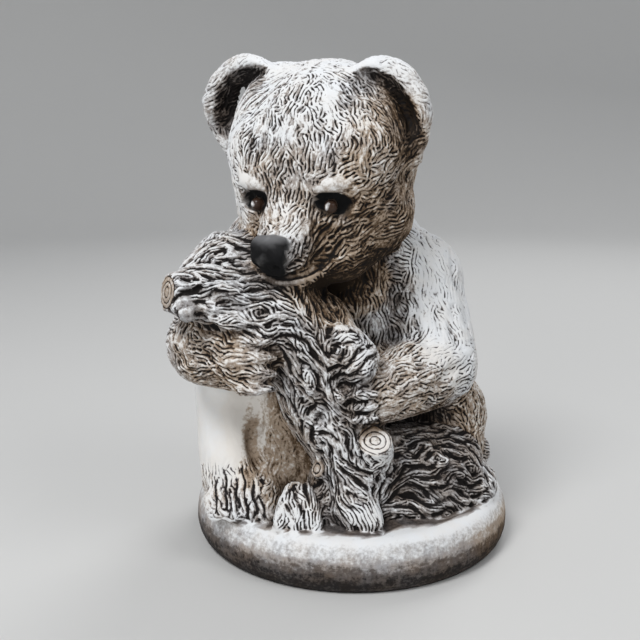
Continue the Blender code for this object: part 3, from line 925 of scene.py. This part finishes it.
class Nodes:
    """Short names for the material nodes used below."""

    def __init__(self, tree):
        self.tree = tree

    def attribute(self, name, output="Fac"):
        made = self.tree.nodes.new("ShaderNodeAttribute")
        made.attribute_name = name
        return made.outputs[output]

    def fill(self, sockets, values):
        for socket, value in zip(sockets, values):
            if isinstance(value, bpy.types.NodeSocket):
                self.tree.links.new(value, socket)
            else:
                socket.default_value = value

    def maths(self, operation, first, second=0.0, clamp=False):
        made = self.tree.nodes.new("ShaderNodeMath")
        made.operation = operation
        made.use_clamp = clamp
        self.fill(made.inputs, (first, second))
        return made.outputs[0]

    def add(self, first, second):
        return self.maths("ADD", first, second)

    def times(self, first, second):
        return self.maths("MULTIPLY", first, second)

    def height(self):
        """How far up the surface lies, in millimetres from the top of the base."""
        place = self.tree.nodes.new("ShaderNodeTexCoord")
        split = self.tree.nodes.new("ShaderNodeSeparateXYZ")
        self.tree.links.new(place.outputs["Object"], split.inputs[0])
        return self.add(self.times(split.outputs["Z"], 1 / MM), -BASE_TOP)

    def noise(self, scale, detail=3.0, roughness=0.6, squeeze=(1, 1, 1)):
        place = self.tree.nodes.new("ShaderNodeTexCoord")
        sized = self.tree.nodes.new("ShaderNodeMapping")
        sized.inputs["Scale"].default_value = squeeze
        made = self.tree.nodes.new("ShaderNodeTexNoise")
        made.inputs["Scale"].default_value = scale
        made.inputs["Detail"].default_value = detail
        made.inputs["Roughness"].default_value = roughness
        self.tree.links.new(place.outputs["Object"], sized.inputs["Vector"])
        self.tree.links.new(sized.outputs["Vector"], made.inputs["Vector"])
        return made.outputs["Fac"]

    def strokes(self, way, scale, step, reach):
        """A noise drawn out along a way, as fine strokes."""
        place = self.tree.nodes.new("ShaderNodeTexCoord").outputs["Object"]
        total = 0.0
        for index in range(-reach, reach + 1):
            moved = self.tree.nodes.new("ShaderNodeVectorMath")
            moved.operation = "MULTIPLY_ADD"
            self.fill(moved.inputs, (way, (index * step,) * 3, place))
            made = self.tree.nodes.new("ShaderNodeTexNoise")
            made.inputs["Scale"].default_value = scale
            made.inputs["Detail"].default_value = 1.0
            self.tree.links.new(moved.outputs[0], made.inputs["Vector"])
            total = self.add(made.outputs["Fac"], total)
        return self.maths("DIVIDE", total, 2.0 * reach + 1)

    def spread(self, value, width):
        """A noise of about 0.5 turned into one about 0."""
        return self.times(self.add(value, -0.5), width)

    def between(self, value, low, high):
        made = self.tree.nodes.new("ShaderNodeMapRange")
        made.inputs["From Min"].default_value = low
        made.inputs["From Max"].default_value = high
        made.interpolation_type = "SMOOTHSTEP"
        self.tree.links.new(value, made.inputs["Value"])
        return made.outputs["Result"]

    def blend(self, share, first, second):
        """A number that goes from the first to the second."""
        return self.add(self.times(first, self.maths("SUBTRACT", 1.0, share)), self.times(second, share))

    def mix(self, share, first, second):
        """A colour that goes from the first to the second."""
        made = self.tree.nodes.new("ShaderNodeMix")
        made.data_type = "RGBA"
        self.fill((made.inputs[0], made.inputs[6], made.inputs[7]), (share, first, second))
        return made.outputs[2]

    def ramp(self, value, stops):
        """Colours blended along a value, given as (value, colour)."""
        colour = stops[0][1]
        for (low, _), (high, after) in zip(stops, stops[1:]):
            colour = self.mix(self.between(value, low, high), colour, after)
        return colour


COAT = (
    (0.0, (0.018, 0.0160, 0.016, 1)),
    (0.30, (0.105, 0.094, 0.090, 1)),
    (0.62, (0.325, 0.318, 0.322, 1)),
    (1.0, (0.735, 0.752, 0.770, 1)),
)
WARM_COAT = (
    (0.0, (0.020, 0.0125, 0.007, 1)),
    (0.30, (0.115, 0.074, 0.044, 1)),
    (0.62, (0.360, 0.280, 0.210, 1)),
    (1.0, (0.730, 0.700, 0.660, 1)),
)
GROOVE = (0.011, 0.0090, 0.0085, 1)
PALE_GROOVE = (0.100, 0.086, 0.090, 1)
INK = (0.0045, 0.0045, 0.0050, 1)
# Painted sheen on the nose's top.
PAINTED_SHEEN = (0.150, 0.150, 0.155, 1)
BEAD_BROWN = (0.040, 0.023, 0.016, 1)
# Painted highlight on the eye's bead.
GLINT = (0.90, 0.90, 0.90, 1)


def stone_tone(nodes, crest, hairs, dab, speck):
    """How pale the carved stone is: what its place says, with patches, dabs and specks."""
    patch = nodes.noise(38, 4.0, 0.6)
    tone = nodes.add(nodes.attribute("tone"), nodes.spread(patch, 0.26))
    tone = nodes.add(nodes.add(tone, nodes.spread(dab, 0.60)), nodes.spread(speck, 0.60))
    tone = nodes.add(tone, nodes.times(hairs, 0.26))
    return nodes.add(tone, nodes.times(nodes.add(crest, -0.74), 0.32))


def base_tone(nodes, dab, speck):
    """How pale the base is: a pale top, and an edge that darkens downwards."""
    streak = nodes.noise(60, 4.0, 0.65, (0.35, 0.35, 2.2))
    level = nodes.add(nodes.add(nodes.height(), nodes.spread(streak, 12.0)), nodes.spread(dab, 10.0))
    edge = nodes.times(nodes.between(level, -34.0, -6.0), 0.80)
    edge = nodes.add(nodes.add(edge, 0.06), nodes.spread(streak, 0.3))
    edge = nodes.add(nodes.add(edge, nodes.spread(dab, 0.35)), nodes.spread(speck, 0.45))
    top = nodes.add(nodes.attribute("tone"), nodes.spread(streak, 0.16))
    top = nodes.add(nodes.add(top, nodes.spread(dab, 0.34)), nodes.spread(speck, 0.24))
    ledge = nodes.between(nodes.height(), -7.0, -1.0)
    return nodes.blend(ledge, edge, top)


def coat_colour(nodes, tone, crest):
    """The dry-brushed coat, turned brown in places, and the dark wash in the grooves."""
    brown_share = nodes.add(nodes.attribute("warm"), nodes.spread(nodes.noise(55, 3.0, 0.6), 1.5))
    brown_share = nodes.maths("ADD", brown_share, 0.20, True)
    coat = nodes.mix(brown_share, nodes.ramp(tone, COAT), nodes.ramp(tone, WARM_COAT))
    groove = nodes.mix(nodes.between(tone, 0.50, 1.00), GROOVE, PALE_GROOVE)
    wash = nodes.between(nodes.add(crest, nodes.times(tone, 0.14)), 0.73, 0.32)
    return nodes.mix(wash, coat, groove)


def stone_material():
    material = bpy.data.materials.new("washed_stone")
    material.use_nodes = True
    tree = material.node_tree
    nodes = Nodes(tree)
    shader = tree.nodes["Principled BSDF"]
    shader.inputs["Specular IOR Level"].default_value = 0.2
    ink, bead, satin_and_sheen = (nodes.attribute(name) for name in ("ink", "bead", "satin_and_sheen"))
    dab = nodes.noise(170, 3.0, 0.65)
    speck = nodes.noise(420, 2.0, 0.6)
    grain = nodes.noise(1500, 2.0, 0.7)
    hairs = nodes.spread(nodes.strokes(nodes.attribute("flow", "Vector"), 620, 0.00075, 3), 5.5)
    hairs = nodes.times(hairs, nodes.attribute("fuzz"))
    crest = nodes.add(nodes.attribute("crest"), nodes.spread(speck, 0.30))
    crest = nodes.add(crest, nodes.times(hairs, 0.42))
    stone = stone_tone(nodes, crest, hairs, dab, speck)
    tone = nodes.blend(nodes.attribute("base"), stone, base_tone(nodes, dab, speck))
    colour = coat_colour(nodes, tone, crest)
    # The nose's black paint, with a painted sheen on its top.
    colour = nodes.mix(ink, colour, nodes.mix(satin_and_sheen, INK, PAINTED_SHEEN))
    colour = nodes.mix(bead, colour, BEAD_BROWN)
    # A painted highlight on each eye's bead.
    colour = nodes.mix(nodes.attribute("glint"), colour, GLINT)
    tree.links.new(colour, shader.inputs["Base Color"])
    rough = nodes.maths("SUBTRACT", 0.88, nodes.times(satin_and_sheen, 0.45))
    rough = nodes.maths("SUBTRACT", rough, nodes.times(bead, 0.66), True)
    tree.links.new(rough, shader.inputs["Roughness"])
    height = nodes.add(nodes.add(nodes.times(speck, 0.4), nodes.times(grain, 0.3)), nodes.times(hairs, 0.5))
    height = nodes.times(height, nodes.maths("SUBTRACT", 1.0, ink, True))
    bump = tree.nodes.new("ShaderNodeBump")
    bump.inputs["Strength"].default_value = 0.35
    bump.inputs["Distance"].default_value = 0.0006
    tree.links.new(height, bump.inputs["Height"])
    tree.links.new(bump.outputs["Normal"], shader.inputs["Normal"])
    return material


def finish_paint(obj, skin):
    """Paint, wear, painted shade and painted highlights for each point of the thinned casting."""
    points = positions(obj)
    facing = normals(obj)
    tree = tree_of(skin.points)
    match = np.array([tree.find(point)[1] for point in points.tolist()])
    closed = shelter(obj, points, facing)
    local = skin.local[match]
    bark = skin.bark[match]
    base = skin.base[match]
    # Darker where closed in: the wash that gathers in recesses, and painted shade between parts.
    # Paler where the surface faces up: painted light from above.
    tone = np.where(bark, 0.74, 0.70) + 0.16 * facing[:, 2] - 1.35 * closed
    tone -= np.where(bark, 0.34, 0.20) * (skin.furrow[match] - 0.25)
    tone += zones(local, HEAD_TONES) * skin.head[match] + zones(points, BODY_TONES) * ~skin.head[match]
    tone += 0.07 * skin.brow[match] - 0.12 * skin.lip[match] + 0.10 * skin.ear_rim[match]
    tone -= 0.34 * skin.hollow[match]
    tone -= 0.22 * (skin.ring[match] < FAR)
    # The base's top darkens where the figure closes it in: wash at the figure's foot, and painted shade.
    on_top = np.maximum(1.06 - 1.05 * smooth(closed, 0.03, 0.27), 0.14)
    tone = np.where(base, on_top, tone)
    warm = np.where(skin.head[match], zones(local, HEAD_WARMTH), zones(points, BODY_WARMTH))
    warm = np.where(bark, 0.3 * warm, warm)
    warm = np.where(skin.ring[match] < FAR, 0.6, warm)
    warm = np.where(base, smooth(points[:, 0], 60, 130) * smooth(-points[:, 2], 4, 16) * 0.8, warm)
    bead = np.clip(skin.bead[match] * 8, 0, 1)
    ink = np.maximum(skin.nose[match], np.clip(skin.eye[match] * 8, 0, 1))
    store(obj, "crest", np.where(base, 1.0, skin.crest[match]))
    store(obj, "tone", tone)
    store(obj, "warm", np.clip(warm, 0, 1))
    store(obj, "base", base)
    store(obj, "ink", ink * (1 - bead))
    store(obj, "bead", bead)
    # The nose's up-facing top: painted sheen in its colour, and a glossier finish.
    store(obj, "satin_and_sheen", skin.nose[match] * smooth(facing[:, 2], 0.20, 0.95) * smooth(local[:, 2], -24, -17))
    store(obj, "glint", np.clip(skin.glint[match] * 3, 0, 1))
    store(obj, "fuzz", np.clip(skin.force[match], 0.15, 1.0) * (1 - skin.calm[match]))
    store(obj, "flow", waved(skin, match, False) * np.where(bark, 1.5, 1.0)[:, None])


def make_statue(node):
    added = small_forms()
    blank = stone_blank(node)
    hollow_eyes(blank)
    statue = fine_skin(blank, added)
    skin = Skin(statue)
    carve(statue, skin)
    skin.points = positions(statue)
    thin_out(statue, skin, SKIN_TRIANGLES)
    finish_paint(statue, skin)
    activate(statue)
    bpy.ops.object.shade_smooth()
    statue.data.materials.clear()
    statue.data.materials.append(stone_material())
    statue.name = "statue"
    return statue


def sweep():
    """A round floor that curves up into a wall all round, with no horizon."""
    bpy.ops.mesh.primitive_circle_add(vertices=96, radius=FLOOR_FLAT, fill_type="NGON", location=(0, 0, 0))
    ground = bpy.context.active_object
    ground.name = "floor"
    bpy.ops.object.mode_set(mode="EDIT")
    bpy.ops.mesh.select_mode(type="EDGE")
    bpy.ops.mesh.select_all(action="SELECT")
    bpy.ops.mesh.region_to_loop()
    for step in range(FLOOR_STEPS):
        angles = [math.pi / 2 * (step + more) / FLOOR_STEPS for more in (0, 1)]
        out = [FLOOR_FLAT + FLOOR_BEND * math.sin(angle) for angle in angles]
        rise = FLOOR_BEND * (math.cos(angles[0]) - math.cos(angles[1]))
        bpy.ops.mesh.extrude_edges_move(TRANSFORM_OT_translate={"value": (0, 0, rise)})
        bpy.ops.transform.resize(value=(out[1] / out[0], out[1] / out[0], 1), center_override=(0, 0, 0))
    bpy.ops.mesh.extrude_edges_move(TRANSFORM_OT_translate={"value": (0, 0, FLOOR_WALL)})
    bpy.ops.object.mode_set(mode="OBJECT")
    bpy.ops.object.shade_smooth()
    material = bpy.data.materials.new("pale_floor")
    material.use_nodes = True
    shader = material.node_tree.nodes["Principled BSDF"]
    shader.inputs["Base Color"].default_value = (0.60, 0.60, 0.59, 1)
    shader.inputs["Roughness"].default_value = 0.9
    ground.data.materials.append(material)


def lamp(name, place, energy, size):
    data = bpy.data.lights.new(name, "AREA")
    data.energy = energy
    data.shape = "DISK"
    data.size = size
    obj = bpy.data.objects.new(name, data)
    bpy.context.scene.collection.objects.link(obj)
    obj.location = place
    obj.rotation_euler = (Vector(LAMP_AIM) - Vector(place)).to_track_quat("-Z", "Y").to_euler()


def studio():
    for name, (place, energy, size) in LAMPS.items():
        lamp(name, place, energy, size)
    world = bpy.data.worlds.new("studio")
    world.use_nodes = True
    world.node_tree.nodes["Background"].inputs["Color"].default_value = SKY
    world.node_tree.nodes["Background"].inputs["Strength"].default_value = SKY_STRENGTH
    bpy.context.scene.world = world
    bpy.context.scene.view_settings.view_transform = "Standard"


def photo_camera():
    data = bpy.data.cameras.new("camera")
    data.sensor_width = CAMERA_SENSOR
    data.lens = CAMERA_LENS
    data.clip_start = 0.02
    camera = bpy.data.objects.new("camera", data)
    bpy.context.scene.collection.objects.link(camera)
    camera.location = CAMERA_PLACE
    camera.rotation_euler = (math.radians(90 - CAMERA_TILT), 0, 0)
    bpy.context.scene.camera = camera


statue = make_statue(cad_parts[STATUE])
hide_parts(STATUE)
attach(statue, "root")
sweep()
studio()
photo_camera()
